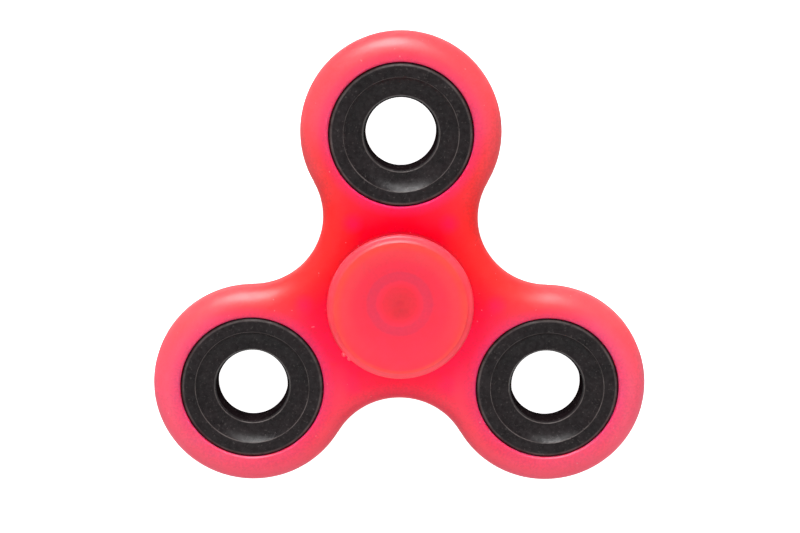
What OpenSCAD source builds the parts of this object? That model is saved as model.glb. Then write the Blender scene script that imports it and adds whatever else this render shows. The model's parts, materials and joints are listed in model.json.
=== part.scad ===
// Three-lobed fidget spinner, lying flat on its back cap.
// The origin is the centre of the bearing. The spin axis is Z, the front cap is on the +Z side, and
// the first lobe points along +Y. Front and back parts mirror each other across z = 0.

/* [Body] */
// Distance from the spin axis to the axis of each weight
arm_length = 26.15; // [25.7:0.05:28]
// Radius of each rounded lobe, seen from the front
lobe_r = 15.3; // [15.1:0.1:15.8]
// Thickness of the moulded body
body_t = 8; // [7.7:0.1:8.6]
// Radius of the rounded outer edge of the body
body_edge_r = 3.4; // [2.4:0.1:3.4]
// Chamfer on the mouth of each bore in the body
bore_chamfer = 0.35; // [0.2:0.05:0.45]

/* [Bearing] */
// Outer diameter of the bearing
bearing_d = 22; // [22:0.01:22.1]
// Bore diameter of the bearing
bearing_bore_d = 8; // [7.8:0.05:8.1]
// Width of the bearing
bearing_w = 7; // [6.9:0.05:7.2]
// Diameter of one ball
ball_d = 3.969; // [3.9:0.001:3.99]
// Gap between a ball and the bottom of either raceway
ball_gap = 0.016; // [0.01:0.001:0.03]
// Thickness of the sheet steel of the shields
shield_t = 0.3; // [0.25:0.05:0.35]
// Thickness of the sheet steel of the ball cage
cage_t = 0.35; // [0.3:0.05:0.4]

/* [Weights] */
// Outer diameter of each weight
weight_d = 22; // [21.8:0.05:22.1]
// Thickness of each weight
weight_t = 7.6; // [7.5:0.05:7.7]
// Diameter of the hole through each weight at its throat
throat_d = 10.72; // [10.4:0.02:11]
// Length of the straight part of the throat
throat_land = 2.54; // [2:0.02:3]
// Thickness of the steel ring inside each weight
core_t = 3.5; // [3:0.1:3.6]

/* [Caps] */
// Diameter of the round finger cap
cap_d = 22.3; // [21.9:0.1:23]
// Thickness of the cap's disc at its rim
cap_t = 1.7; // [1.6:0.05:1.8]
// Overall thickness of the spinner across both caps
overall_t = 12.8; // [12.6:0.1:13.4]
// Depth of the thumb dish in each cap
dish_depth = 0.5; // [0.3:0.05:0.7]
// Diameter of the pin that joins the two caps
pin_d = 5.5; // [5:0.1:5.8]

/* [Hidden] */
$fn = 96;
dish_fn = 256;                             // the dish is a small part of a very large circle
cut = 1;                                   // how far a cutting tool overshoots
ball_count = 7;
lobe_count = 3;
lobe_names = ["top", "left", "right"];     // anticlockwise from +Y, seen from the front

// Outline: the centres of the lobes and of the waist arcs are the corners of a regular hexagon. Each
// waist arc all but touches the lobes on both sides of it, and a narrow flat joins them.
hexagon_corners = 2 * lobe_count;
waist_step = 180 / lobe_count;             // angle from a lobe to the next waist
blend_flat = 0.04;
waist_lift = 0.03;                         // the waist's rounding cuts the face and doesn't just graze it
edge_z = body_t / 2 - body_edge_r;
waist_r = arm_length - lobe_r - blend_flat;

// Bearing
race_r = bearing_d / 2;
pitch_r = (bearing_d + bearing_bore_d) / 4;
ball_r = ball_d / 2;
groove_r = ball_r * 1.033;                 // a raceway is slightly wider than its ball
inner_groove_floor = pitch_r - ball_r - ball_gap;
outer_groove_floor = pitch_r + ball_r + ball_gap;
groove_depth = 0.55;
inner_land_r = inner_groove_floor + groove_depth;
outer_land_r = outer_groove_floor - groove_depth;
race_chamfer = 0.3;
shield_seat_r = outer_land_r + 0.75;
shield_mouth_r = outer_land_r + 0.55;
shield_bore_r = inner_land_r + 0.25;
shield_z = bearing_w / 2 - 0.55;           // inner face of the shield
shield_lip = 0.2;                          // height of the shield's folded edges
cage_in_r = inner_land_r + 0.45;
cage_out_r = outer_land_r - 0.45;
pocket_r = ball_r + 0.096;                 // running room round each ball
rivet_r = 0.35;
rivet_head_r = 0.62;
rivet_head_t = 0.25;

// Weights
weight_r = weight_d / 2;
throat_r = throat_d / 2;
plate_hole_r = (weight_r + bore_chamfer + lobe_r - body_edge_r) / 2;
weight_face = weight_t / 2;
rim_start_r = weight_r - 0.9;              // where the flat face starts to round over
rim_arc_r = 1.15;
lip_r = weight_r - 2.25;                   // inner edge of the flat face
lip_step = 0.12;
throat_taper = 0.336;                      // how far the hole widens per millimetre of height
bowl_low_z = weight_face - 1.1;
bowl_low_r = throat_r + 0.74;              // where the bowl's flat floor starts to curve up
bowl_edge_r = lip_r - 0.05;
bowl_run = bowl_edge_r - bowl_low_r;
bowl_rise = weight_face - lip_step - bowl_low_z;
bowl_arc_r = (bowl_run * bowl_run + bowl_rise * bowl_rise) / (2 * bowl_rise);
core_in_r = throat_r + 0.94;
core_out_r = weight_r - 0.7;

// Caps
cap_r = cap_d / 2;
cap_top = overall_t / 2;
cap_under = cap_top - cap_t;
cap_edge_r = 1.2;                          // rounding of the rim on the finger side
cap_back_edge_r = 0.3;                     // rounding of the rim on the body side
cap_land_w = 0.3;                          // flat ring left round the thumb dish
cap_dish_edge_r = cap_r - cap_edge_r - cap_land_w;
cap_dish_arc_r = (cap_dish_edge_r * cap_dish_edge_r + dish_depth * dish_depth) / (2 * dish_depth);
boss_r = bearing_bore_d / 2 + 1.05;
stem_r = bearing_bore_d / 2;
stem_chamfer = 0.25;
pin_r = pin_d / 2;
pin_length = 2.4;
socket_depth = 2.6;

// ---- Placing ----

// Puts what is drawn about the Z axis on the axis of lobe i
module on_lobe(i) rotate([0, 0, 90 + 360 / lobe_count * i]) translate([arm_length, 0, 0]) children();

// Turns a front part into the matching back part
module to_back() mirror([0, 0, 1]) children();

// ---- Body ----

// Rectangle from the axis out to r, centred on the mid-plane
module slab(r, t) translate([0, -t / 2]) square([r, t]);

// Section of a lobe: a ring with the body's rounded edge outside and a chamfered bore inside
module lobe_section() difference() {
    union() {
        slab(lobe_r - body_edge_r, body_t);
        slab(lobe_r, body_t - 2 * body_edge_r);
        for (side = [-1, 1]) translate([lobe_r - body_edge_r, side * edge_z]) circle(body_edge_r);
    }
    slab(weight_r, body_t + 2 * cut);
    for (side = [-1, 1]) polygon([
        [weight_r - cut, side * (body_t / 2 - bore_chamfer)],
        [weight_r, side * (body_t / 2 - bore_chamfer)],
        [weight_r + bore_chamfer + cut, side * (body_t / 2 + cut)],
        [weight_r - cut, side * (body_t / 2 + cut)]]);
}

// Section of what a waist arc takes away, which leaves the body's rounded edge round it
module waist_section() difference() {
    slab(waist_r + body_edge_r, body_t + 2 * cut);
    for (side = [-1, 1])
        translate([waist_r + body_edge_r, side * (edge_z + waist_lift)]) circle(body_edge_r);
    translate([waist_r, -edge_z]) square([body_edge_r + cut, 2 * edge_z]);
}

// Places a copy at waist i, which follows lobe i anticlockwise
module on_waist(i) rotate([0, 0, waist_step]) on_lobe(i) children();

// Hexagonal plate between the centres of the lobes and of the waist arcs, less its waists and its lobes
module body_plate() difference() {
    linear_extrude(body_t, center = true)
        polygon([for (k = [0:hexagon_corners - 1])
            arm_length * [cos(waist_step * (k + 0.5)), sin(waist_step * (k + 0.5))]]);
    for (i = [0:lobe_count - 1]) {
        on_waist(i) rotate([0, 0, 180]) rotate_extrude() waist_section();
        on_lobe(i) cylinder(r = plate_hole_r, h = body_t + 2 * cut, center = true);
    }
}

module spinner_body() color("crimson") difference() {
    union() {
        body_plate();
        for (i = [0:lobe_count - 1]) on_lobe(i) rotate_extrude() lobe_section();
    }
    cylinder(r = race_r, h = body_t + 2 * cut, center = true);
    for (side = [0, 1]) mirror([0, 0, side]) translate([0, 0, body_t / 2 - bore_chamfer])
        cylinder(r1 = race_r, r2 = race_r + bore_chamfer + cut, h = bore_chamfer + cut);
}

// ---- Bearing ----

// Corner triangles that chamfer both ends of a race at radius r; outward is 1 or -1
module race_corners(r, outward) for (side = [-1, 1])
    polygon([
        [r, side * (bearing_w / 2 - race_chamfer)],
        [r - outward * race_chamfer, side * bearing_w / 2],
        [r - outward * race_chamfer, side * (bearing_w / 2 + cut)],
        [r + outward * cut, side * (bearing_w / 2 + cut)],
        [r + outward * cut, side * (bearing_w / 2 - race_chamfer)]]);

module bearing_outer_race() color("gainsboro") rotate_extrude() difference() {
    translate([outer_land_r, -bearing_w / 2]) square([race_r - outer_land_r, bearing_w]);
    translate([outer_groove_floor - groove_r, 0]) circle(groove_r);
    race_corners(race_r, 1);
    for (side = [0, 1]) mirror([0, side]) translate([outer_land_r - cut, shield_z]) {
        square([shield_seat_r - outer_land_r + cut, shield_t + shield_lip]);
        square([shield_mouth_r - outer_land_r + cut, bearing_w]);
    }
}

module bearing_inner_race() color("lightsteelblue") rotate_extrude() difference() {
    translate([stem_r, -bearing_w / 2]) square([inner_land_r - stem_r, bearing_w]);
    translate([inner_groove_floor + groove_r, 0]) circle(groove_r);
    race_corners(inner_land_r, 1);
    race_corners(stem_r, -1);
}

// Places a copy at the centre of ball i
module at_ball(i) rotate([0, 0, 360 / ball_count * (i - 1)]) translate([pitch_r, 0, 0]) children();

module bearing_ball(i) color("silver") at_ball(i) sphere(ball_r);

// Places a copy midway between ball i and the next one
module between_balls(i)
    rotate([0, 0, 360 / ball_count * (i - 0.5)]) translate([pitch_r, 0, 0]) children();

// Pressed half ring with a round pocket over each ball
module cage_half() difference() {
    intersection() {
        difference() {
            cylinder(r = cage_out_r, h = pocket_r + cage_t + cut);
            translate([0, 0, -cut]) cylinder(r = cage_in_r, h = pocket_r + cage_t + 3 * cut);
        }
        union() {
            cylinder(r = cage_out_r + cut, h = cage_t);
            for (i = [1:ball_count]) at_ball(i) sphere(pocket_r + cage_t);
        }
    }
    for (i = [1:ball_count]) {
        at_ball(i) sphere(pocket_r);
        between_balls(i) translate([0, 0, -cut]) cylinder(r = rivet_r, h = cage_t + 2 * cut);
    }
}

module bearing_cage_front() color("goldenrod") cage_half();
module bearing_cage_back() color("darkgoldenrod") to_back() cage_half();

// Seven separate rivets that hold the two halves of the cage together
module bearing_cage_rivets() color("dimgray") for (i = [1:ball_count]) between_balls(i) {
    cylinder(r = rivet_r, h = 2 * cage_t, center = true);
    for (side = [0, 1]) mirror([0, 0, side]) translate([0, 0, cage_t])
        cylinder(r1 = rivet_head_r, r2 = rivet_r, h = rivet_head_t);
}

// Pressed ring, folded inwards at its bore and outwards at its rim
module shield() rotate_extrude() {
    translate([shield_bore_r, shield_z]) square([shield_seat_r - shield_bore_r, shield_t]);
    translate([shield_bore_r, shield_z - shield_lip]) square([shield_t, shield_lip + shield_t]);
    translate([shield_seat_r - shield_t, shield_z]) square([shield_t, shield_lip + shield_t]);
}

module bearing_shield_front() color("slategray") shield();
module bearing_shield_back() color("slategray") to_back() shield();

// ---- Weights ----

module weight_ring(i) color("gray") on_lobe(i) difference() {
    cylinder(r = core_out_r, h = core_t, center = true);
    cylinder(r = core_in_r, h = core_t + 2 * cut, center = true);
}

// Section of a weight's hollow face: a shallow bowl with a flat floor, a small step at its lip, and the
// tapered hole
module weight_bowl_section() {
    intersection() {
        translate([0, bowl_low_z]) square([bowl_edge_r, bowl_rise]);
        union() {
            translate([bowl_low_r, bowl_low_z + bowl_arc_r]) circle(bowl_arc_r);
            translate([0, bowl_low_z]) square([bowl_low_r, bowl_rise]);
        }
    }
    translate([0, weight_face - lip_step]) square([lip_r, weight_t]);
    polygon([
        [0, throat_land / 2], [throat_r, throat_land / 2],
        [throat_r + throat_taper * (weight_t - throat_land / 2), weight_t], [0, weight_t]]);
}

// Front half of a weight's moulded cover, with a pocket for the steel ring
module weight_cover() rotate_extrude() difference() {
    union() {
        translate([throat_r, 0]) square([rim_start_r - throat_r, weight_face]);
        intersection() {
            translate([rim_start_r, 0]) square([weight_r - rim_start_r, weight_face]);
            union() {
                translate([rim_start_r, weight_face - rim_arc_r]) circle(rim_arc_r);
                translate([rim_start_r, 0]) square([weight_r - rim_start_r, weight_face - rim_arc_r]);
            }
        }
    }
    weight_bowl_section();
    translate([core_in_r, -cut]) square([core_out_r - core_in_r, core_t / 2 + cut]);
}

module weight_cover_front(i) color("black") on_lobe(i) weight_cover();
module weight_cover_back(i) color("black") on_lobe(i) to_back() weight_cover();

// ---- Caps ----

// What a rounding of radius r leaves out of the corner at [x, z]; dir is 1 at a top edge and -1 at a
// bottom one
module corner_cut(x, z, r, dir) difference() {
    translate([x - r, dir > 0 ? z - r : z - cut]) square(r + cut);
    translate([x - r, z - dir * r]) circle(r);
}

// Half section of the cap's disc, with a rounded rim and a shallow dish for the finger
module cap_disc_section() difference() {
    translate([0, cap_under]) square([cap_r, cap_t]);
    corner_cut(cap_r, cap_top, cap_edge_r, 1);
    corner_cut(cap_r, cap_under, cap_back_edge_r, -1);
    translate([0, cap_top - dish_depth + cap_dish_arc_r]) circle(cap_dish_arc_r, $fn = dish_fn);
}

// Disc, boss that clamps the inner race, and the stem that fills half of its bore
module cap() {
    rotate_extrude() intersection() {
        square([cap_r, cap_top]);
        cap_disc_section();
    }
    translate([0, 0, bearing_w / 2]) cylinder(r = boss_r, h = cap_under - bearing_w / 2);
    translate([0, 0, stem_chamfer]) cylinder(r = stem_r, h = bearing_w / 2 - stem_chamfer);
    cylinder(r1 = stem_r - stem_chamfer, r2 = stem_r, h = stem_chamfer);
}

module cap_front() color("tomato") difference() {
    cap();
    translate([0, 0, -cut]) cylinder(r = pin_r, h = socket_depth + cut);
}

module cap_back() color("tomato") {
    to_back() cap();
    cylinder(r = pin_r, h = pin_length);
}

spinner_body();
bearing_outer_race();
bearing_inner_race();
for (i = [1:ball_count])
    bearing_ball(i);
bearing_cage_front();
bearing_cage_back();
bearing_cage_rivets();
bearing_shield_front();
bearing_shield_back();
cap_front();
cap_back();
for (i = [0:lobe_count - 1]) {
    weight_ring(i);
    weight_cover_front(i);
    weight_cover_back(i);
}
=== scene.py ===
"""Fidget spinner, lying face up on a white floor: red translucent body and finger caps, black ring weights
and a steel ball bearing. Lengths are in millimetres in the CAD frame, whose origin is the bearing's centre,
with +Z out of the front cap and +Y towards the first lobe. Meshes are written in metres."""

import json
import math

import bpy
import numpy as np
from mathutils import Matrix, Vector
from mathutils.geometry import delaunay_2d_cdt


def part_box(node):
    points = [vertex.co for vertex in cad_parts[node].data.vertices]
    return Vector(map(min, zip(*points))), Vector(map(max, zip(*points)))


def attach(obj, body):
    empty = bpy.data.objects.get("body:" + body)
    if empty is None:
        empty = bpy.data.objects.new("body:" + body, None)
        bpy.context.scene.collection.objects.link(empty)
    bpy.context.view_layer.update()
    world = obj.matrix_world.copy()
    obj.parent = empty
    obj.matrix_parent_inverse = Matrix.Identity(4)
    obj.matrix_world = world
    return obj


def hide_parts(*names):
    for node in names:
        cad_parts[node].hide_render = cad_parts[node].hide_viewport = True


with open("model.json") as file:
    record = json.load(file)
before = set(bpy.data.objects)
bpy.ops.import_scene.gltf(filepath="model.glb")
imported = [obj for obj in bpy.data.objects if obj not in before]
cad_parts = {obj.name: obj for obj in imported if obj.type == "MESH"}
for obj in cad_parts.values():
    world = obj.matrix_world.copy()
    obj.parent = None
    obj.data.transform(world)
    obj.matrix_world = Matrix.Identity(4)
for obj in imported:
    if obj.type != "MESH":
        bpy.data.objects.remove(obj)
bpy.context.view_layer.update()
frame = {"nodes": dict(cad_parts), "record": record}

MM = 0.001
SCENE = bpy.context.scene
LOBES = ["top", "left", "right"]
LOBE_ANGLES = {name: 90 + 120 * i for i, name in enumerate(LOBES)}


def box_mm(node):
    """Lowest and highest corner of a CAD node."""
    lo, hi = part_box(node)
    return lo / MM, hi / MM


def polar(radius, degrees):
    """Point of the XY plane at that radius and angle."""
    return np.array([radius * math.cos(math.radians(degrees)), radius * math.sin(math.radians(degrees))])


# ---- Sizes, read off the CAD nodes where they can be ----

body_hi = box_mm("spinner_body")[1]
cover_lo, cover_hi = box_mm("weight_cover_front_top")
cap_hi = box_mm("cap_front")[1]
race_hi = box_mm("bearing_outer_race")[1]

# Body
ARM = (cover_lo.y + cover_hi.y) / 2          # spin axis to a weight's axis
LOBE_R = body_hi.y - ARM
WAIST_GAP = 0.04                             # left between the arc of a waist and the arcs of its lobes
WAIST_R = ARM - LOBE_R - WAIST_GAP
BODY_FACE = body_hi.z
RACE_R = race_hi.x
EDGE_R = 3.4                                 # rounding of the body's outer edge
BORE_MOUTH = 0.35                            # rounding of the mouth of each bore
LOBE_CENTRES = [polar(ARM, LOBE_ANGLES[name]) for name in LOBES]
WAIST_CENTRES = [polar(ARM, LOBE_ANGLES[name] + 60) for name in LOBES]

# Weights: two moulded halves, each with a hole, a bowl round it and a raised rim
WEIGHT_R = (cover_hi.x - cover_lo.x) / 2
WEIGHT_FACE = cover_hi.z
THROAT_R = 5.36                              # hole through each weight
THROAT_HALF = 1.27                           # half the length of its straight part
THROAT_TAPER = 0.336                         # how far it widens per millimetre of height above that
LIP_R = WEIGHT_R - 2.25
LIP_STEP = 0.12
RIM_START = WEIGHT_R - 0.9
RIM_R = 1.15
BOWL_LOW = (THROAT_R + 0.74, WEIGHT_FACE - 1.1)  # where the flat floor starts to curve up
BOWL_EDGE = (LIP_R - 0.05, WEIGHT_FACE - LIP_STEP)
CORE = (THROAT_R + 0.94, WEIGHT_R - 0.7, 1.75)  # pocket for the steel ring: radii and height
LIP_ROUND = 0.10
FLOOR_ROUND = 0.14
THROAT_ROUND = 0.3
SPECK_ANGLES = {"top": 222, "left": 271, "right": 268}  # where the trimmed gate of each front cover is
SPECK_INSET = 0.45                           # from the weight's edge
SPECK_SIZE = (0.16, 0.2)                     # radius and height

# Caps: disc with a shallow dish, boss and stem; the back cap carries the pin and the front one its socket
CAP_R = cap_hi.x
CAP_TOP = cap_hi.z
CAP_UNDER = CAP_TOP - 1.7
CAP_EDGE_R = 1.2
CAP_BACK_EDGE_R = 0.3
RIM_CREST = 10.15                            # where the rim breaks away from the face
RIM_STEEP = (0.32, 38)                       # steep band outside the crest: width and slope in degrees
RIM_SHALLOW = (0.36, 21)                     # shallower band outside that one
CREST_ROUND = 0.08
STEP_ROUND = 0.3
DISH_DEPTH = 0.5
DISH_R = CAP_R - CAP_EDGE_R - 0.3
BOSS_R = 5.05
BOSS_LOW = 3.5
BOSS_ROUND = 0.1
STEM_R = 4.0
STEM_CHAMFER = 0.25
PIN_R = 2.75
PIN_END = -2.4
SOCKET_END = 2.6
GATE_R = 0.75                                # low dome of the moulding gate in the middle of the dish
GATE_H = 0.07
NUBS = [(11.3, 221.0, 0.40), (11.2, 226.4, 0.34)]  # gate remains on the front cap: radius, angle, size

FLOOR_Z = box_mm("cap_back")[0].z            # the spinner stands on its back cap

# Steps of the revolved pieces in one turn, then of the arcs in the outline and the sections
BORE_STEPS = 160
COVER_STEPS = 176
CAP_STEPS = 224
SPECK_STEPS = 12
NUB_STEPS = 16
LOBE_STEPS = 120
WAIST_STEPS = 56
EDGE_STEPS = 24
MOUTH_STEPS = 6
RIM_STEPS = 14
BOWL_STEPS = 18
CAP_RIM_STEPS = 12
CAP_BACK_STEPS = 6
LUMP_STEPS = 6
DISH_POINTS = 30
GATE_POINTS = 9

MERGE_DISTANCE = 1e-7                        # points of a flat face nearer than this are one


# ---- Mesh tools ----

def arc(cx, cz, radius, start, end, steps):
    """Points of an arc in a section plane, angles in degrees."""
    return [(cx + radius * math.cos(math.radians(a)), cz + radius * math.sin(math.radians(a)))
            for a in np.linspace(start, end, steps + 1)]


def rounded(corners, steps):
    """Section from corners (x, z, radius), each corner rounded to its radius; radius 0 keeps it sharp."""
    out = []
    n = len(corners)
    for i, (x, z, radius) in enumerate(corners):
        here = np.array([x, z])
        if radius <= 0:
            out.append((x, z))
            continue
        a = np.array(corners[i - 1][:2]) - here
        b = np.array(corners[(i + 1) % n][:2]) - here
        a, b = a / np.linalg.norm(a), b / np.linalg.norm(b)
        half = math.acos(max(-1, min(1, float(a @ b)))) / 2
        centre = here + (a + b) / np.linalg.norm(a + b) * radius / math.sin(half)
        p = here + a * radius / math.tan(half) - centre
        q = here + b * radius / math.tan(half) - centre
        turn = math.atan2(p[0] * q[1] - p[1] * q[0], float(p @ q))
        for k in range(steps + 1):
            c, s = math.cos(turn * k / steps), math.sin(turn * k / steps)
            out.append((centre[0] + c * p[0] - s * p[1], centre[1] + s * p[0] + c * p[1]))
    return out


def section_normals(points, closed, crease=28):
    """For each segment of a section, the shading normals at its two ends: neighbours that meet at less than
    the crease angle share a normal, weighted by their lengths so that flats stay flat. The material is on the
    left."""
    pts = np.array(points, float)
    n = len(pts)
    count = n if closed else n - 1
    d = np.array([pts[(i + 1) % n] - pts[i] for i in range(count)])
    length = np.linalg.norm(d, axis=1)
    face = np.stack([d[:, 1], -d[:, 0]], 1) / length[:, None]
    limit = math.cos(math.radians(crease))
    ends = []
    for i in range(count):
        pair = []
        for step in (-1, 1):
            j = i + step
            if closed:
                j %= count
            joined = 0 <= j < count and float(face[i] @ face[j]) > limit
            normal = face[i] * length[i] + face[j] * length[j] if joined else face[i]
            pair.append(normal / np.linalg.norm(normal))
        ends.append(pair)
    return ends


class Builder:
    """Collects vertices and faces with their own corner normals, and turns them into one smooth object."""

    ON_AXIS = 1e-6

    def __init__(self):
        self.verts, self.faces, self.normals = [], [], []

    def add(self, points):
        start = len(self.verts)
        self.verts.extend([tuple(p) for p in points])
        return list(range(start, start + len(points)))

    def face(self, ids, normals):
        keep = [k for k in range(len(ids)) if ids[k] != ids[k - 1]]
        if len(keep) > 2:
            self.faces.append([ids[k] for k in keep])
            self.normals.append([tuple(normals[k]) for k in keep])

    def band(self, a, b, outward, ends, zs=1):
        """Faces between two loops. Outward holds each column's unit vector away from the material, ends the
        section's normals (out, up) on the two loops, and zs is -1 for a mirrored piece."""
        na, nb = ends
        for k in range(len(outward)):
            after = (k + 1) % len(outward)
            ids = [a[k], a[after], b[after], b[k]]
            normals = [(outward[column][0] * n[0], outward[column][1] * n[0], zs * n[1])
                       for column, n in ((k, na), (after, na), (after, nb), (k, nb))]
            if zs < 0:
                ids, normals = ids[::-1], normals[::-1]
            self.face(ids, normals)

    def revolve(self, points, centre, steps, mirror=False, closed=True):
        """Turns a section (r, z) about a vertical axis at centre, and returns its loops. A mirrored one
        faces -Z."""
        zs = -1 if mirror else 1
        ends = section_normals(points, closed)
        turn = [(math.cos(2 * math.pi * k / steps), math.sin(2 * math.pi * k / steps))
                for k in range(steps)]
        loops = []
        for r, z in points:
            if r < self.ON_AXIS:
                loops.append(self.add([(centre[0], centre[1], zs * z)]) * steps)
            else:
                loops.append(self.add([(centre[0] + r * c, centre[1] + r * s, zs * z) for c, s in turn]))
        for i, pair in enumerate(ends):
            following = (i + 1) % len(points)
            if points[i][0] >= self.ON_AXIS or points[following][0] >= self.ON_AXIS:
                self.band(loops[i], loops[following], turn, pair, zs)
        return loops

    def build(self, name, material, body, replaces):
        mesh = bpy.data.meshes.new(name)
        mesh.from_pydata([(x * MM, y * MM, z * MM) for x, y, z in self.verts], [], self.faces)
        mesh.polygons.foreach_set("use_smooth", [True] * len(mesh.polygons))
        mesh.materials.append(material)
        mesh.normals_split_custom_set([n for face in self.normals for n in face])
        mesh.update()
        obj = bpy.data.objects.new(name, mesh)
        SCENE.collection.objects.link(obj)
        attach(obj, body)
        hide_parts(*replaces)
        return obj


# ---- Body ----

def outline():
    """Columns round the body's outline, anticlockwise: (arc centre, outward unit normal, arc radius, side).
    Side is 1 on a lobe, whose centre is inside the body, and -1 on a waist, whose centre is outside it."""
    columns = []
    for name, lobe, waist in zip(LOBES, LOBE_CENTRES, WAIST_CENTRES):
        out = LOBE_ANGLES[name]
        for a in np.linspace(-120, 120, LOBE_STEPS + 1):
            columns.append((lobe, polar(1, out + a), LOBE_R, 1))
        for a in np.linspace(-120, -240, WAIST_STEPS + 1):
            columns.append((waist, -polar(1, out + 60 + a), WAIST_R, -1))
    return columns


def add_outer_edge(b):
    """Sweeps the rounded outer edge along the outline; returns its lowest and highest loop."""
    columns = outline()
    low = -BODY_FACE + EDGE_R
    section = [(EDGE_R * (1 - math.cos(math.radians(t))), low - EDGE_R * math.sin(math.radians(t)))
               for t in np.linspace(90, 0, EDGE_STEPS + 1)]
    section += [(inset, -z) for inset, z in reversed(section)]
    ends = section_normals([(-inset, z) for inset, z in section], False)
    loops = [b.add([(*(centre + out * (side * r - inset)), z) for centre, out, r, side in columns])
             for inset, z in section]
    for i, pair in enumerate(ends):
        b.band(loops[i], loops[i + 1], [column[1] for column in columns], pair)
    return loops[0], loops[-1]


def add_bores(b, bores):
    """Walls of the bores, with a softly rounded mouth at both ends; returns their top and bottom loops."""
    tops, bottoms = [], []
    for centre, radius in bores:
        wall = arc(radius + BORE_MOUTH, BODY_FACE - BORE_MOUTH, BORE_MOUTH, 90, 180, MOUTH_STEPS)
        wall += [(r, -z) for r, z in reversed(wall)]
        loops = b.revolve(wall, centre, BORE_STEPS, closed=False)
        tops.append(loops[0])
        bottoms.append(loops[-1])
    return tops, bottoms


def add_flat_face(b, side, edge, mouths, bores):
    """Flat face between the rounded edge and the mouths of the bores, on the +Z side (1) or the -Z one."""
    ids, edges = [], []
    for loop in [edge] + mouths:
        start = len(ids)
        ids += loop
        edges += [(start + k, start + (k + 1) % len(loop)) for k in range(len(loop))]
    flat = [Vector(b.verts[i][:2]) for i in ids]
    # a triangle with its middle in one of these circles fills a bore or the hollow of a waist
    empty = [(Vector(centre), r + BORE_MOUTH * 0.98) for centre, r in bores]
    empty += [(Vector(centre), WAIST_R + EDGE_R * 0.999) for centre in WAIST_CENTRES]
    found = delaunay_2d_cdt(flat, edges, [], 0, MERGE_DISTANCE, True)
    points, tris, origin = found[0], found[2], found[3]
    for tri in tris:
        mid = sum((points[k] for k in tri), Vector((0, 0))) / 3
        if not any((mid - centre).length < r for centre, r in empty):
            corner = [ids[origin[k][0]] for k in tri]
            b.face(corner if side > 0 else corner[::-1], [(0, 0, side)] * 3)


def add_body():
    b = Builder()
    low_edge, high_edge = add_outer_edge(b)
    bores = [((0, 0), RACE_R)] + [(tuple(centre), WEIGHT_R) for centre in LOBE_CENTRES]
    tops, bottoms = add_bores(b, bores)
    add_flat_face(b, 1, high_edge, tops, bores)
    add_flat_face(b, -1, low_edge, bottoms, bores)
    b.build("body_moulding", BODY_MATERIAL, "rotor", ["spinner_body"])


# ---- Materials ----

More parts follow.
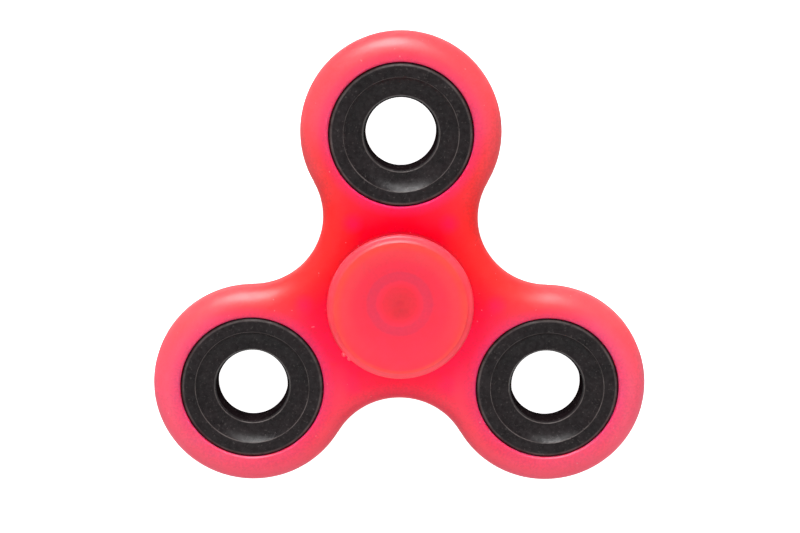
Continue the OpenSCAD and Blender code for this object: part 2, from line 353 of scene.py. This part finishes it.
class Nodes:
    """Short way to write a material's node tree. The flat vector, x and y are in millimetres, and coords in
    metres."""

    def __init__(self, name):
        self.material = bpy.data.materials.new(name)
        self.material.use_nodes = True
        self.tree = self.material.node_tree
        self.shader = self.tree.nodes["Principled BSDF"]
        self.coords = self.tree.nodes.new("ShaderNodeTexCoord").outputs["Object"]
        self.flat = self.scale(self.coords, (1 / MM, 1 / MM, 0))
        self.x, self.y = self.node("ShaderNodeSeparateXYZ", {0: self.flat}).outputs[:2]

    def set(self, socket, value):
        if isinstance(value, bpy.types.NodeSocket):
            self.tree.links.new(value, socket)
        else:
            socket.default_value = value

    def node(self, kind, inputs, **props):
        n = self.tree.nodes.new(kind)
        for key, value in props.items():
            setattr(n, key, value)
        for key, value in inputs.items():
            self.set(n.inputs[key], value)
        return n

    def math(self, operation, a, b=0.0, c=0.0):
        return self.node("ShaderNodeMath", {0: a, 1: b, 2: c}, operation=operation).outputs[0]

    def product(self, first, *others):
        for other in others:
            first = self.math("MULTIPLY", first, other)
        return first

    def scale(self, vector, factors):
        return self.node("ShaderNodeVectorMath", {0: vector, 1: factors}, operation="MULTIPLY").outputs[0]

    def shift(self, vector, offset):
        return self.node("ShaderNodeVectorMath", {0: vector, 1: offset}, operation="SUBTRACT").outputs[0]

    def length(self, vector):
        return self.node("ShaderNodeVectorMath", {0: vector}, operation="LENGTH").outputs["Value"]

    def nearest(self, points):
        """Distance in the XY plane to the nearest of several points."""
        best = None
        for x, y in points:
            away = self.length(self.shift(self.flat, (x, y, 0)))
            best = away if best is None else self.math("MINIMUM", best, away)
        return best

    def fade(self, value, span, levels=(0.0, 1.0)):
        """Straight change from the first level at the span's start to the second at its end."""
        start, end = span
        low, high = levels
        return self.node("ShaderNodeMapRange", {0: value, 1: start, 2: end, 3: low, 4: high}).outputs[0]

    def noise(self, scale, detail, rough, vector=None, seed=0.0):
        """Seamless noise with about that many features to a metre; each seed shifts it elsewhere."""
        at = vector or self.coords
        if seed:
            at = self.shift(at, (seed, seed * 0.7, -seed * 1.3))
        inputs = {"Vector": at, "Scale": scale, "Detail": detail, "Roughness": rough}
        return self.node("ShaderNodeTexNoise", inputs).outputs["Fac"]

    def ramp(self, factor, stops):
        n = self.node("ShaderNodeValToRGB", {"Fac": factor})
        n.color_ramp.interpolation = "EASE"
        elements = n.color_ramp.elements
        while len(elements) < len(stops):
            elements.new(1.0)
        for element, (at, colour) in zip(elements, stops):
            element.position = at
            element.color = (*colour, 1)
        return n.outputs["Color"]

    def mix(self, factor, a, b, blend="MIX"):
        n = self.tree.nodes.new("ShaderNodeMix")
        n.data_type = "RGBA"
        n.blend_type = blend
        for key, value in (("Factor", factor), ("A", a), ("B", b)):
            kind = "VALUE" if key == "Factor" else "RGBA"
            socket = next(s for s in n.inputs if s.name == key and s.type == kind)
            self.set(socket, (*value, 1) if isinstance(value, tuple) else value)
        return next(s for s in n.outputs if s.type == "RGBA")

    def paint(self, colour, layers):
        """Lays tints over a colour, one after another: (amount, tint)."""
        for amount, tint in layers:
            colour = self.mix(amount, colour, tint)
        return colour

    def speckle(self, colour, scale, seed, spread):
        """The colour with fine lighter and darker grains, up to the spread on either side."""
        level = self.fade(self.noise(scale, 2.0, 0.5, seed=seed), (0.35, 0.65), (1 - spread, 1 + spread))
        grey = self.node("ShaderNodeCombineColor", {0: level, 1: level, 2: level}).outputs[0]
        return self.mix(1.0, colour, grey, "MULTIPLY")

    def scratches(self, *kinds):
        """Sparse thin marks: 1 on a mark, 0 elsewhere. Each kind is (scale, angle about Z, noise span)."""
        marks = 0.0
        for scale, angle, span in kinds:
            turned = self.node("ShaderNodeVectorRotate",
                               {"Vector": self.coords, "Angle": math.radians(angle)},
                               rotation_type="Z_AXIS").outputs[0]
            fac = self.noise(scale, 2.0, 0.5, vector=self.scale(turned, (1, SCRATCH_STRETCH, 1)))
            marks = self.math("MAXIMUM", marks, self.fade(fac, span))
        return marks

    def bump(self, height, depth, strength, below=None):
        """Surface relief of that depth in millimetres, on top of the relief below."""
        inputs = {"Height": height, "Distance": depth * MM, "Strength": strength}
        if below is not None:
            inputs["Normal"] = below
        return self.node("ShaderNodeBump", inputs).outputs[0]

    def finish(self, **inputs):
        for key, value in inputs.items():
            self.set(self.shader.inputs[key.replace("_", " ")], value)
        return self.material


SCRATCH_STRETCH = 14.0                       # length of a scratch over its width
PLASTIC_IOR = 1.49

# Tints of the body, as linear colours
# the upper web's tint is darker as painted shade
WEB_UPPER_SHADED = (0.87, 0.0006, 0.018)
WEB_LOWER = (0.90, 0.004, 0.060)
# the lobes' pink is painted light that crosses the thin plastic
LOBE_LIT_PINK = (0.90, 0.060, 0.130)
SIDE_PALE = (0.90, 0.16, 0.28)
WAIST_ORANGE = (0.92, 0.024, 0.024)
RIM_ORANGE = (0.92, 0.070, 0.082)
TIP_ORANGE = (0.90, 0.048, 0.062)
BORE_MAGENTA = (0.90, 0.022, 0.150)
SPOT_MAGENTA = (0.90, 0.004, 0.090)
BODY_DUST = (0.90, 0.30, 0.34)
GAP_GLOW = (1.0, 0.006, 0.060)
EDGE_GLOW = (1.0, 0.17, 0.21)
SPOT_R = 14.6                                # ring of six faint spots in the body, round the cap


def body_colour(m, reach, waist, bore, cloud):
    """Painted light makes the thin lobes pink; the web stays deep red, and painted shade darkens it above the
    middle.
    """
    across = m.math("ABSOLUTE", m.x)
    # painted shade: the web is darker above the middle than below it
    web = m.mix(m.fade(m.y, (6, -6)), WEB_UPPER_SHADED, WEB_LOWER)
    spots = m.nearest([polar(SPOT_R, 60 * k) for k in range(6)])
    colour = m.paint(web, [
        # painted light: the lobes are pinker away from the middle
        (m.fade(m.math("MULTIPLY_ADD", cloud, 6.0, reach), (16, 36)), LOBE_LIT_PINK),
        # the outer edge of each waist is more orange
        (m.product(m.fade(waist, (17.0, 12.5)), m.fade(m.y, (-14, -4), (0.25, 1.0))), WAIST_ORANGE),
        # the outer sides of the left and right lobes are paler
        (m.fade(across, (20, 36), (0.0, 0.24)), SIDE_PALE),
        # the rims of the lobes and the tip of the top one are more orange
        (m.product(m.fade(bore, (12, 14)), m.fade(m.y, (-14, -4), (0.15, 0.85)), m.fade(reach, (18, 24))),
         RIM_ORANGE),
        (m.fade(m.y, (28, 39), (0.0, 0.8)), TIP_ORANGE),
        # the edge of each bore is more magenta, and so are six soft spots round the bearing
        (m.product(m.fade(bore, (12.8, 11.1), (0.0, 0.55)), m.fade(m.y, (-25, -19), (0.1, 1.0))),
         BORE_MAGENTA),
        (m.fade(spots, (1.9, 0.4), (0.0, 0.6)), SPOT_MAGENTA)])
    colour = m.speckle(colour, 2600.0, 0.31, 0.07)
    dust = m.fade(m.noise(1900.0, 1.0, 0.3, seed=0.83), (0.79, 0.81), (0.0, 0.5))
    return m.mix(dust, colour, BODY_DUST)


def body_glow(m, reach, waist, bore):
    """Stands in for light that crosses the plastic. It comes through the cap into the gap under its edge, and
    out of the body along the edges that face away from the lamps. Returns its colour and strength."""
    gap = m.fade(reach, (11.3, 10.9), (0.0, 0.42))
    lobe_edge = m.product(m.fade(bore, (12.2, 13.4)), m.fade(bore, (15.1, 14.1)))
    waist_edge = m.product(m.fade(waist, (11.8, 12.6)), m.fade(waist, (14.2, 13.2)))
    edge = m.product(m.math("MAXIMUM", lobe_edge, waist_edge), 0.10)
    side = m.product(m.fade(bore, (12.8, 14.2)), m.fade(m.math("ABSOLUTE", m.x), (25, 34), (0.0, 0.16)))
    shaded = m.product(m.math("MAXIMUM", edge, side), m.fade(m.y, (-8, -20)))
    return m.mix(m.fade(reach, (10.9, 11.5)), GAP_GLOW, EDGE_GLOW), m.math("ADD", gap, shaded)


def red_body():
    m = Nodes("red_body_plastic_fine")
    reach = m.length(m.flat)
    waist = m.nearest(WAIST_CENTRES)
    bore = m.nearest(LOBE_CENTRES)
    cloud = m.noise(85.0, 3.0, 0.6)
    scuff = m.scratches((260.0, 24, (0.66, 0.74)), (310.0, -51, (0.68, 0.75)))
    rough = m.math("ADD", m.fade(cloud, (0.3, 0.7), (0.36, 0.44)), m.product(scuff, 0.10))
    # painted shade: the reflection is turned down on the web above the cap and near the hub
    shaded_shine = m.product(m.fade(m.math("MULTIPLY_ADD", m.y, -0.5, reach), (5.5, 19.0), (0.0, 0.52)),
                      m.fade(reach, (12.5, 17.0), (0.45, 1.0)))
    wave = m.bump(m.noise(150.0, 2.0, 0.4, seed=0.57), 0.12, 0.35)
    normal = m.bump(m.noise(5200.0, 3.0, 0.6, seed=0.13), 0.006, 0.6, wave)
    glow_colour, glow = body_glow(m, reach, waist, bore)
    return m.finish(Base_Color=body_colour(m, reach, waist, bore, cloud), Roughness=rough, Normal=normal,
                    IOR=PLASTIC_IOR, Specular_IOR_Level=shaded_shine,
                    Emission_Color=glow_colour, Emission_Strength=glow,
                    Subsurface_Weight=0.8, Subsurface_Radius=(1.0, 0.10, 0.14), Subsurface_Scale=3.5 * MM)


# Tints of a cap by distance from its centre: the pin, the stem and the steel inner race show through as
# faint rings, and the rim is more orange; its outer edge is painted brighter as light that crosses the
# plastic
CAP_RINGS = [(0.0, (0.66, 0.010, 0.030)), (0.9, (0.72, 0.016, 0.036)), (2.4, (0.78, 0.014, 0.040)),
             (2.9, (0.87, 0.015, 0.050)), (3.3, (0.85, 0.018, 0.062)), (3.8, (0.73, 0.022, 0.074)),
             (4.8, (0.73, 0.022, 0.074)), (5.3, (0.87, 0.018, 0.060)), (6.5, (0.92, 0.020, 0.062)),
             (8.6, (0.92, 0.046, 0.066)), (9.8, (0.92, 0.062, 0.044)), (10.6, (0.98, 0.052, 0.080))]
CAP_LOWER = (0.91, 0.020, 0.064)
CAP_CLOUD = (0.86, 0.012, 0.048)
SOCKET_DARK = (0.58, 0.006, 0.022)
SOCKET_Y = -0.75                             # the socket's dark floor shows below the middle of the cap
DEEP_SHIFT = (-0.1, 0.62, 0)                 # how far off centre the rings deep under the face look
RIM_GLOW = (1.0, 0.22, 0.28, 1)


def cap_colour(m, reach, cloud):
    inner = m.fade(reach, (5.5, 7.5), (1.0, 0.0))
    shifted = m.length(m.shift(m.flat, DEEP_SHIFT))
    seen = m.math("ADD", m.product(shifted, inner), m.product(reach, m.math("SUBTRACT", 1.0, inner)))
    rings = m.ramp(m.math("DIVIDE", seen, CAP_R), [(r / CAP_R, colour) for r, colour in CAP_RINGS])
    # the lower half of the face is less orange
    lower = m.product(m.fade(m.y, (1, -8), (0.0, 0.85)), m.fade(reach, (10.0, 9.6)),
                      m.fade(reach, (5.6, 7.0)))
    socket = m.nearest([(x, SOCKET_Y) for x in (-0.5, 0.1, 0.7)])
    colour = m.paint(rings, [(lower, CAP_LOWER), (m.fade(socket, (1.1, 0.3), (0.0, 0.30)), SOCKET_DARK),
                             (m.fade(cloud, (0.35, 0.7), (0.0, 0.25)), CAP_CLOUD)])
    return m.speckle(colour, 2200.0, 0.66, 0.025)


def red_cap():
    m = Nodes("red_cap_plastic_fine")
    reach = m.length(m.flat)
    cloud = m.noise(240.0, 3.0, 0.6, seed=0.21)
    scuff = m.scratches((420.0, 70, (0.66, 0.74)), (380.0, -20, (0.68, 0.75)))
    rough = m.math("ADD", m.fade(cloud, (0.3, 0.7), (0.38, 0.47)), m.product(scuff, 0.12))
    wave = m.bump(m.noise(300.0, 2.0, 0.4, seed=0.77), 0.08, 0.3)
    normal = m.bump(m.noise(4300.0, 3.0, 0.6, seed=0.43), 0.008, 0.6, wave)
    # light that crosses the translucent cap comes out at the rim on the side away from the lamps
    glow = m.product(m.fade(reach, (10.0, 10.3), (0.0, 0.12)), m.fade(m.y, (-3, -9)))
    return m.finish(Base_Color=cap_colour(m, reach, cloud), Roughness=rough, Normal=normal, IOR=PLASTIC_IOR,
                    Emission_Color=RIM_GLOW, Emission_Strength=glow,
                    Subsurface_Weight=0.7, Subsurface_Radius=(1.0, 0.12, 0.16), Subsurface_Scale=3 * MM)


# Edges of the black weights painted lighter, partly as painted highlight and partly as wear: radius, half
# width and strength
LIT_AND_WORN_EDGES = [(WEIGHT_R - 2.27, 0.09, 0.62), (THROAT_R + 0.50, 0.08, 0.70), (WEIGHT_R - 0.42, 0.24, 0.46)]
BLACK_DEEP = (0.0040, 0.0024, 0.0030)
BLACK_LIGHT = (0.0125, 0.0082, 0.0092)
BLACK_EDGE_HIGHLIGHT_AND_WEAR = (0.16, 0.135, 0.130)
BLACK_SCUFF = (0.045, 0.040, 0.042)
BLACK_SPECK = (0.12, 0.105, 0.10)


def black_plastic():
    m = Nodes("black_plastic_fine")
    away = m.nearest(LOBE_CENTRES)
    cloud = m.noise(380.0, 4.0, 0.62)
    scuff = m.scratches((700.0, 35, (0.66, 0.74)), (560.0, -62, (0.67, 0.74)))
    specks = m.fade(m.noise(3300.0, 1.0, 0.3, seed=0.71), (0.66, 0.74), (0.0, 0.26))
    edge_breakup = m.fade(m.noise(500.0, 3.0, 0.6, seed=0.45), (0.35, 0.6), (0.35, 1.0))
    layers = []
    # painted highlights, with some wear, along the lip, the mouth of the hole and the outer rim, broken up by
    # noise
    for radius, half_width, strength in LIT_AND_WORN_EDGES:
        off = m.math("ABSOLUTE", m.math("SUBTRACT", away, radius))
        line = m.fade(off, (half_width, 0.3 * half_width), (0.0, strength))
        layers.append((m.product(line, edge_breakup), BLACK_EDGE_HIGHLIGHT_AND_WEAR))
    layers += [(m.product(scuff, 0.35), BLACK_SCUFF), (specks, BLACK_SPECK)]
    colour = m.paint(m.mix(m.fade(cloud, (0.3, 0.7)), BLACK_DEEP, BLACK_LIGHT), layers)
    rough = m.math("ADD", m.fade(cloud, (0.3, 0.7), (0.25, 0.37)), m.product(scuff, 0.14))
    # the plastic is unevenly glossy, and the wall of the hole has its reflection turned off as painted shade
    gloss = m.fade(m.noise(1500.0, 3.0, 0.65, seed=0.52), (0.36, 0.64), (0.19, 0.33))
    shaded_shine = m.product(m.fade(away, (THROAT_R + 0.25, THROAT_R + 0.5)), gloss)
    wave = m.bump(m.noise(420.0, 2.0, 0.4, seed=0.9), 0.05, 0.4)
    normal = m.bump(m.noise(4200.0, 4.0, 0.65, seed=0.37), 0.03, 0.8, wave)
    return m.finish(Base_Color=colour, Roughness=rough, Normal=normal, IOR=1.5, Specular_IOR_Level=shaded_shine)


def steel(name, bright, rough_range, turned=True, grain_scale=5200.0):
    """Bearing steel: fine marks, which run round the part where it was turned, and a faint oil stain."""
    m = Nodes(name)
    stain = m.noise(420.0, 4.0, 0.6, seed=0.5)
    clean = tuple(bright * level for level in (1.0, 0.99, 0.97))
    oiled = tuple(0.78 * bright * level for level in (1.0, 0.95, 0.88))
    colour = m.mix(m.fade(stain, (0.35, 0.7)), clean, oiled)
    if turned:
        height = m.node("ShaderNodeSeparateXYZ", {0: m.coords}).outputs[2]
        radius = m.length(m.scale(m.coords, (1, 1, 0)))
        marks = m.noise(grain_scale, 2.0, 0.6,
                        vector=m.node("ShaderNodeCombineXYZ", {0: radius, 2: height}).outputs[0])
    else:
        marks = m.noise(grain_scale, 3.0, 0.6)
    rough = m.fade(marks, (0.3, 0.7), rough_range)
    normal = m.bump(marks, 0.005, 0.5, m.bump(stain, 0.02, 0.3))
    return m.finish(Base_Color=colour, Roughness=rough, Normal=normal, Metallic=1.0)


BODY_MATERIAL = red_body()
CAP_MATERIAL = red_cap()
BLACK_MATERIAL = black_plastic()
STEELS = {
    "plated_steel": steel("plated_steel_fine", 0.55, (0.32, 0.48)),
    "race_steel": steel("race_steel_fine", 0.62, (0.16, 0.30)),
    "ball_steel": steel("ball_steel_fine", 0.80, (0.05, 0.10), turned=False, grain_scale=1800.0),
    "pressed_steel": steel("pressed_steel_fine", 0.50, (0.28, 0.42), turned=False, grain_scale=2600.0),
}


# ---- Weights ----

def cover_section():
    """Section of a half cover, anticlockwise, with small moulding radii where the faces meet."""
    run, rise = BOWL_EDGE[0] - BOWL_LOW[0], BOWL_EDGE[1] - BOWL_LOW[1]
    bowl_r = (run * run + rise * rise) / (2 * rise)
    steep = math.degrees(math.asin(run / bowl_r))
    mouth = THROAT_R + THROAT_TAPER * (BOWL_LOW[1] - THROAT_HALF)
    rim_foot = math.degrees(math.acos((WEIGHT_R - RIM_START) / RIM_R))
    inner = [(CORE[0], 0), (CORE[0], CORE[2]), (CORE[1], CORE[2]), (CORE[1], 0), (WEIGHT_R, 0)]
    rim = arc(RIM_START, WEIGHT_FACE - RIM_R, RIM_R, rim_foot, 90, RIM_STEPS)
    lip = rounded([(RIM_START, WEIGHT_FACE, 0), (LIP_R, WEIGHT_FACE, LIP_ROUND),
                   (LIP_R, BOWL_EDGE[1], 0)], 4)[1:]
    bowl = arc(BOWL_LOW[0], BOWL_LOW[1] + bowl_r, bowl_r, steep - 90, -90, BOWL_STEPS)
    hole = rounded([(*BOWL_LOW, 0), (mouth, BOWL_LOW[1], FLOOR_ROUND),
                    (THROAT_R, THROAT_HALF, THROAT_ROUND), (THROAT_R, 0, 0)], 6)[1:]
    return inner + rim + lip + bowl + hole


def lump_section(z, radius, height):
    """Section of a small rounded lump of plastic that stands up from height z."""
    return [(0, z)] + [(radius * math.cos(t), z + height * math.sin(t))
                       for t in np.linspace(0, math.pi / 2, LUMP_STEPS + 1)[:-1]] + [(0, z + height)]


def add_covers():
    for name, centre in zip(LOBES, LOBE_CENTRES):
        for side, mirror in (("front", False), ("back", True)):
            b = Builder()
            b.revolve(cover_section(), centre, COVER_STEPS, mirror)
            if side == "front":
                speck = centre + polar(WEIGHT_R - SPECK_INSET, SPECK_ANGLES[name])
                b.revolve(lump_section(WEIGHT_FACE - SPECK_SIZE[1], *SPECK_SIZE), speck, SPECK_STEPS)
            b.build(f"cover_{side}_{name}", BLACK_MATERIAL, "rotor",
                    [f"weight_cover_{side}_{name}"])


# ---- Caps ----

def cap_rim():
    """The rim from the cap's side up to its face: a rounding, a shallow band and a steep band."""
    step_r = RIM_CREST + RIM_STEEP[0]
    step_z = CAP_TOP - RIM_STEEP[0] * math.tan(math.radians(RIM_STEEP[1]))
    foot_r = step_r + RIM_SHALLOW[0]
    foot_z = step_z - RIM_SHALLOW[0] * math.tan(math.radians(RIM_SHALLOW[1]))
    corner = 90 - RIM_SHALLOW[1]
    corner_r = (CAP_R - foot_r) / (1 - math.cos(math.radians(corner)))
    rounding = arc(CAP_R - corner_r, foot_z - corner_r * math.sin(math.radians(corner)), corner_r,
                   0, corner, CAP_RIM_STEPS)
    bands = rounded([(foot_r, foot_z, 0), (step_r, step_z, STEP_ROUND), (RIM_CREST, CAP_TOP, CREST_ROUND),
                     (DISH_R, CAP_TOP, 0)], 4)[1:-1]
    return rounding + bands


def dish_z(r):
    """Height of the dished face, with the low dome of the gate in its middle."""
    sphere = (DISH_R ** 2 + DISH_DEPTH ** 2) / (2 * DISH_DEPTH)
    gate = GATE_H * (0.5 + 0.5 * math.cos(math.pi * r / GATE_R)) if r < GATE_R else 0
    return CAP_TOP - DISH_DEPTH + sphere - math.sqrt(sphere ** 2 - r ** 2) + gate


def cap_section(end):
    """Section of a cap, anticlockwise. The end is the height of its socket's floor or of its pin's end."""
    core = [(0, end), (PIN_R, end), (PIN_R, 0)]
    stem = rounded([(STEM_R - STEM_CHAMFER, 0, 0), (STEM_R, STEM_CHAMFER, 0), (STEM_R, BOSS_LOW, 0),
                    (BOSS_R, BOSS_LOW, BOSS_ROUND), (BOSS_R, CAP_UNDER, 0)], 3)
    back_edge = arc(CAP_R - CAP_BACK_EDGE_R, CAP_UNDER + CAP_BACK_EDGE_R, CAP_BACK_EDGE_R,
                    -90, 0, CAP_BACK_STEPS)
    radii = [*np.linspace(DISH_R, GATE_R, DISH_POINTS), *np.linspace(GATE_R, 0, GATE_POINTS)[1:]]
    return core + stem + back_edge + cap_rim() + [(r, dish_z(r)) for r in radii]


def add_caps():
    for side, end, nubs in (("front", SOCKET_END, NUBS), ("back", PIN_END, [])):
        b = Builder()
        b.revolve(cap_section(end), (0, 0), CAP_STEPS, side == "back")
        for r, angle, size in nubs:
            b.revolve(lump_section(CAP_TOP - CAP_EDGE_R, size, 2 * size), polar(r, angle), NUB_STEPS)
        cap = b.build(f"finger_cap_{side}", CAP_MATERIAL, "hub", [f"cap_{side}"])
        cap.visible_shadow = False           # light gets through the translucent cap to the body under it


# ---- Floor, lights and camera ----

STAGE_HALF = 3.0                             # half the floor's side, metres
DOME_R = 2.9                                 # metres
DOME_COLUMNS = 48
DOME_RINGS = 12

# Radiance of the white studio at heights from below (-0.2) to overhead (1): towards +Y, -Y and X
STUDIO = [(-0.2, (0.50, 0.57, 0.55)), (0.2, (0.22, 0.76, 0.52)), (0.5, (0.37, 0.93, 0.69)),
          (0.8, (0.53, 0.85, 0.77)), (1.0, (0.75, 0.75, 0.75))]

SOFTBOX = (0.45, 0.5)                        # size and distance in metres
SOFTBOX_AWAY = 0.9

CAMERA_TILT = 11.65                          # degrees about X, then Y and Z
CAMERA_YAW = 0.64
CAMERA_ROLL = -0.31
CAMERA_OFFSET = (-0.03, 5.76, 379.4)         # from the aim, along the camera's own axes
CAMERA_AIM = (0, 0, 3.4)
LENS = 111.93


def add_stage(name, verts, faces, material):
    """Part of the stage. It shows white to the camera, and neither lights the object nor shades it."""
    mesh = bpy.data.meshes.new(name)
    mesh.from_pydata(verts, [], faces)
    mesh.materials.append(material)
    obj = bpy.data.objects.new(name, mesh)
    SCENE.collection.objects.link(obj)
    obj.visible_diffuse = obj.visible_glossy = obj.visible_transmission = obj.visible_shadow = False


def add_floor():
    """A white floor, and a white dome round the studio for the views that look past the floor's edge."""
    m = Nodes("white_floor")
    tone = m.mix(m.noise(9.0, 2.0, 0.5), (0.80, 0.80, 0.80), (0.84, 0.84, 0.84))
    m.finish(Base_Color=tone, Roughness=0.8, Emission_Color=(1, 1, 1, 1), Emission_Strength=0.97)
    z = FLOOR_Z * MM
    corners = [(STAGE_HALF * x, STAGE_HALF * y, z) for x, y in ((-1, -1), (1, -1), (1, 1), (-1, 1))]
    add_stage("floor", corners, [(0, 1, 2, 3)], m.material)
    around = np.linspace(0, 2 * math.pi, DOME_COLUMNS + 1)[:-1]
    verts, faces = [], []
    for up in np.linspace(0, math.pi / 2, DOME_RINGS + 1):
        out = DOME_R * math.cos(up)
        verts += [(out * math.cos(a), out * math.sin(a), z + DOME_R * math.sin(up)) for a in around]
    for i in range(DOME_RINGS):
        low, high = i * DOME_COLUMNS, (i + 1) * DOME_COLUMNS
        for k in range(DOME_COLUMNS):
            after = (k + 1) % DOME_COLUMNS
            faces.append((low + k, low + after, high + after, high + k))
    add_stage("backdrop", verts, faces, m.material)


def add_softbox(name, power, tilt, side=0.0):
    """Softbox above the spinner that faces it, tilted from the face's normal towards +Y and moved sideways
    by those angles in degrees."""
    t, s = math.radians(tilt), math.radians(side)
    data = bpy.data.lights.new(name, "AREA")
    data.shape = "RECTANGLE"
    data.size, data.size_y = SOFTBOX
    data.energy = power
    light = bpy.data.objects.new(name, data)
    light.location = (SOFTBOX_AWAY * math.sin(s), SOFTBOX_AWAY * math.sin(t) * math.cos(s),
                      SOFTBOX_AWAY * math.cos(t) * math.cos(s))
    light.rotation_euler = (-light.location).to_track_quat("-Z", "Y").to_euler()
    light.visible_camera = False
    SCENE.collection.objects.link(light)


def add_world():
    """A soft white studio all round: dimmer low on the +Y side, where the two softboxes are."""
    world = bpy.data.worlds.new("studio")
    SCENE.world = world
    world.use_nodes = True
    tree = world.node_tree
    back = tree.nodes["Background"]
    back.inputs["Color"].default_value = (1, 1, 1, 1)

    def math_node(operation, *values):
        n = tree.nodes.new("ShaderNodeMath")
        n.operation = operation
        for socket, value in zip(n.inputs, values):
            if isinstance(value, bpy.types.NodeSocket):
                tree.links.new(value, socket)
            else:
                socket.default_value = value
        return n.outputs[0]

    axes = tree.nodes.new("ShaderNodeSeparateXYZ")
    tree.links.new(tree.nodes.new("ShaderNodeTexCoord").outputs["Generated"], axes.inputs[0])
    y, z = axes.outputs[1], axes.outputs[2]
    # how much of the level part of the direction is towards +Y, from -1 to 1
    level = math_node("MAXIMUM", math_node("SUBTRACT", 1.0, math_node("MULTIPLY", z, z)), 0.001)
    heading = math_node("DIVIDE", y, math_node("SQRT", level))
    ramp = tree.nodes.new("ShaderNodeValToRGB")
    tree.links.new(math_node("MULTIPLY_ADD", z, 0.5, 0.5), ramp.inputs[0])
    stops = ramp.color_ramp.elements
    while len(stops) < len(STUDIO):
        stops.new(0.5)
    for stop, (height, radiance) in zip(stops, STUDIO):
        stop.position = 0.5 + 0.5 * height
        stop.color = (*radiance, 1)
    split = tree.nodes.new("ShaderNodeSeparateColor")
    tree.links.new(ramp.outputs[0], split.inputs[0])
    backward = math_node("MULTIPLY", heading, -1.0)
    front = math_node("MULTIPLY", split.outputs[0], math_node("MAXIMUM", heading, 0.0))
    rear = math_node("MULTIPLY", split.outputs[1], math_node("MAXIMUM", backward, 0.0))
    across = math_node("SUBTRACT", 1.0, math_node("ABSOLUTE", heading))
    side = math_node("MULTIPLY", split.outputs[2], across)
    tree.links.new(math_node("ADD", math_node("ADD", front, rear), side), back.inputs["Strength"])


def add_camera():
    """Almost straight above, leaning from the face's normal towards the top lobe, with a long lens."""
    turn = Matrix.Identity(3)
    for degrees, axis in ((CAMERA_TILT, "X"), (CAMERA_YAW, "Y"), (CAMERA_ROLL, "Z")):
        turn = turn @ Matrix.Rotation(math.radians(degrees), 3, axis)
    back = turn.transposed()
    data = bpy.data.cameras.new("camera")
    data.sensor_width = 36.0
    data.lens = LENS
    data.clip_start, data.clip_end = 0.01, 20.0
    camera = bpy.data.objects.new("camera", data)
    place = (back @ Vector(CAMERA_OFFSET) + Vector(CAMERA_AIM)) * MM
    camera.matrix_world = Matrix.Translation(place) @ back.to_4x4()
    SCENE.collection.objects.link(camera)
    SCENE.camera = camera


# ---- The scene ----

add_body()
add_covers()
add_caps()

for part in frame["record"]["subparts"]:
    if part["material_slot"] in STEELS:
        node = frame["nodes"][part["node"]]
        node.data.materials.clear()
        node.data.materials.append(STEELS[part["material_slot"]])

add_floor()
add_world()
add_softbox("softbox_high", 4.0, 54)
add_softbox("softbox_low", 9.5, 75, -10)
add_camera()
SCENE.view_settings.view_transform = "Standard"
